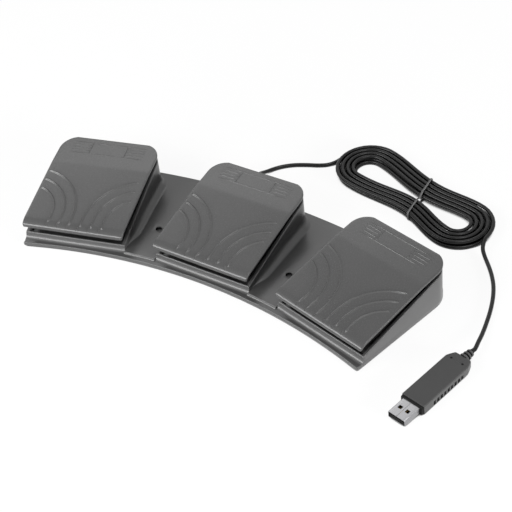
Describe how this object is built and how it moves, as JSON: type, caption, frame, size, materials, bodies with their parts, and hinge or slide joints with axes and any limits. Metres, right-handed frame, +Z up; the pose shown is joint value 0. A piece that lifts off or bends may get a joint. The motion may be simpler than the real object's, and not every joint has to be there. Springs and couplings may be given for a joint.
{
  "type": "foot pedal switch",
  "caption": "Low arced foot switch with hinged ribbed pedals fanned on a shared base, sprung return, and a hanked cord ending in a flat plug.",
  "frame": {"origin": "on the floor, in the middle of the base's footprint, the cord and plug left out", "axes": "+X along the row of pedals to the user's right, +Y to the rear where the cord leaves, +Z up"},
  "size_m": [0.3208, 0.2097, 0.0286],
  "materials": {
    "shell_plastic": "fine satin moulded",
    "pedal_plastic": "fine satin moulded",
    "foot_rubber": "matte",
    "screw_steel": "zinc plated",
    "spring_steel": "drawn wire",
    "board": "solder mask",
    "black_plastic": "moulded",
    "red_plastic": "moulded",
    "ribbon_plastic": "flat lead",
    "cord_rubber": "soft extruded jacket",
    "tie_plastic": "coated wire",
    "plug_plastic": "moulded",
    "plug_metal": "nickel plated sheet",
    "contact_metal": "gold plated"
  },
  "bodies": {
    "base": {"top_shell": "shell_plastic", "bottom_plate": "shell_plastic", "rubber_feet": "foot_rubber", "base_screws": "screw_steel", "hinge_pins_left": "screw_steel", "hinge_pins_middle": "screw_steel", "hinge_pins_right": "screw_steel", "return_spring_left": "spring_steel", "return_spring_middle": "spring_steel", "return_spring_right": "spring_steel", "switch_body_left": "black_plastic", "switch_body_middle": "black_plastic", "switch_body_right": "black_plastic", "switch_terminals": "screw_steel", "board_left": "board", "controller_board": "board", "board_right": "board", "board_screws": "screw_steel", "controller_chip": "black_plastic", "ribbon_left": "ribbon_plastic", "ribbon_right": "ribbon_plastic", "cable_tail": "cord_rubber", "cable_gland": "cord_rubber", "cord_to_hank": "cord_rubber", "cord_hank": "cord_rubber", "hank_tie": "tie_plastic", "cord_to_plug": "cord_rubber", "plug_boot": "plug_plastic", "plug_body": "plug_plastic", "plug_collar": "black_plastic", "usb_shell": "plug_metal", "usb_tongue": "black_plastic", "usb_contacts": "contact_metal"},
    "pedal_left": {"pedal_left": "pedal_plastic"},
    "lever_left": {"switch_lever_left": "screw_steel"},
    "plunger_left": {"switch_plunger_left": "red_plastic"},
    "pedal_middle": {"pedal_middle": "pedal_plastic"},
    "lever_middle": {"switch_lever_middle": "screw_steel"},
    "plunger_middle": {"switch_plunger_middle": "red_plastic"},
    "pedal_right": {"pedal_right": "pedal_plastic"},
    "lever_right": {"switch_lever_right": "screw_steel"},
    "plunger_right": {"switch_plunger_right": "red_plastic"}
  },
  "joints": [
    {"name": "press_left", "type": "hinge", "parent": "base", "child": "pedal_left", "pos_m": [-0.10547, 0.01921, 0.018], "axis": [0.969, 0.247, 0], "range_deg": [0, 3.2], "stiffness_Nm_per_rad": 2, "springref_deg": -4.01, "deforming": ["return_spring_left"]},
    {"name": "lever_tilt_left", "type": "hinge", "parent": "base", "child": "lever_left", "pos_m": [-0.1082, -0.01864, 0.0133], "axis": [0.969, 0.247, 0], "range_deg": [-6.4, 0]},
    {"name": "plunger_slide_left", "type": "slide", "parent": "base", "child": "plunger_left", "axis": [0, 0, 1], "range_m": [-0.0006, 0]},
    {"name": "press_middle", "type": "hinge", "parent": "base", "child": "pedal_middle", "pos_m": [0, 0.03244, 0.018], "axis": [1, 0, 0], "range_deg": [0, 3.2], "stiffness_Nm_per_rad": 2, "springref_deg": -4.01, "deforming": ["return_spring_middle"]},
    {"name": "lever_tilt_middle", "type": "hinge", "parent": "base", "child": "lever_middle", "pos_m": [-0.012, -0.00356, 0.0133], "axis": [1, 0, 0], "range_deg": [-6.4, 0]},
    {"name": "plunger_slide_middle", "type": "slide", "parent": "base", "child": "plunger_middle", "axis": [0, 0, 1], "range_m": [-0.0006, 0]},
    {"name": "press_right", "type": "hinge", "parent": "base", "child": "pedal_right", "pos_m": [0.10547, 0.01921, 0.018], "axis": [0.969, -0.247, 0], "range_deg": [0, 3.2], "stiffness_Nm_per_rad": 2, "springref_deg": -4.01, "deforming": ["return_spring_right"]},
    {"name": "lever_tilt_right", "type": "hinge", "parent": "base", "child": "lever_right", "pos_m": [0.08495, -0.01271, 0.0133], "axis": [0.969, -0.247, 0], "range_deg": [-6.4, 0]},
    {"name": "plunger_slide_right", "type": "slide", "parent": "base", "child": "plunger_right", "axis": [0, 0, 1], "range_m": [-0.0006, 0]}
  ],
  "couplings": [
    {"joint": "lever_tilt_left", "follows": "press_left", "ratio": -1.94},
    {"joint": "plunger_slide_left", "follows": "press_left", "m_per_rad": -0.0098},
    {"joint": "lever_tilt_middle", "follows": "press_middle", "ratio": -1.94},
    {"joint": "plunger_slide_middle", "follows": "press_middle", "m_per_rad": -0.0098},
    {"joint": "lever_tilt_right", "follows": "press_right", "ratio": -1.94},
    {"joint": "plunger_slide_right", "follows": "press_right", "m_per_rad": -0.0098}
  ]
}
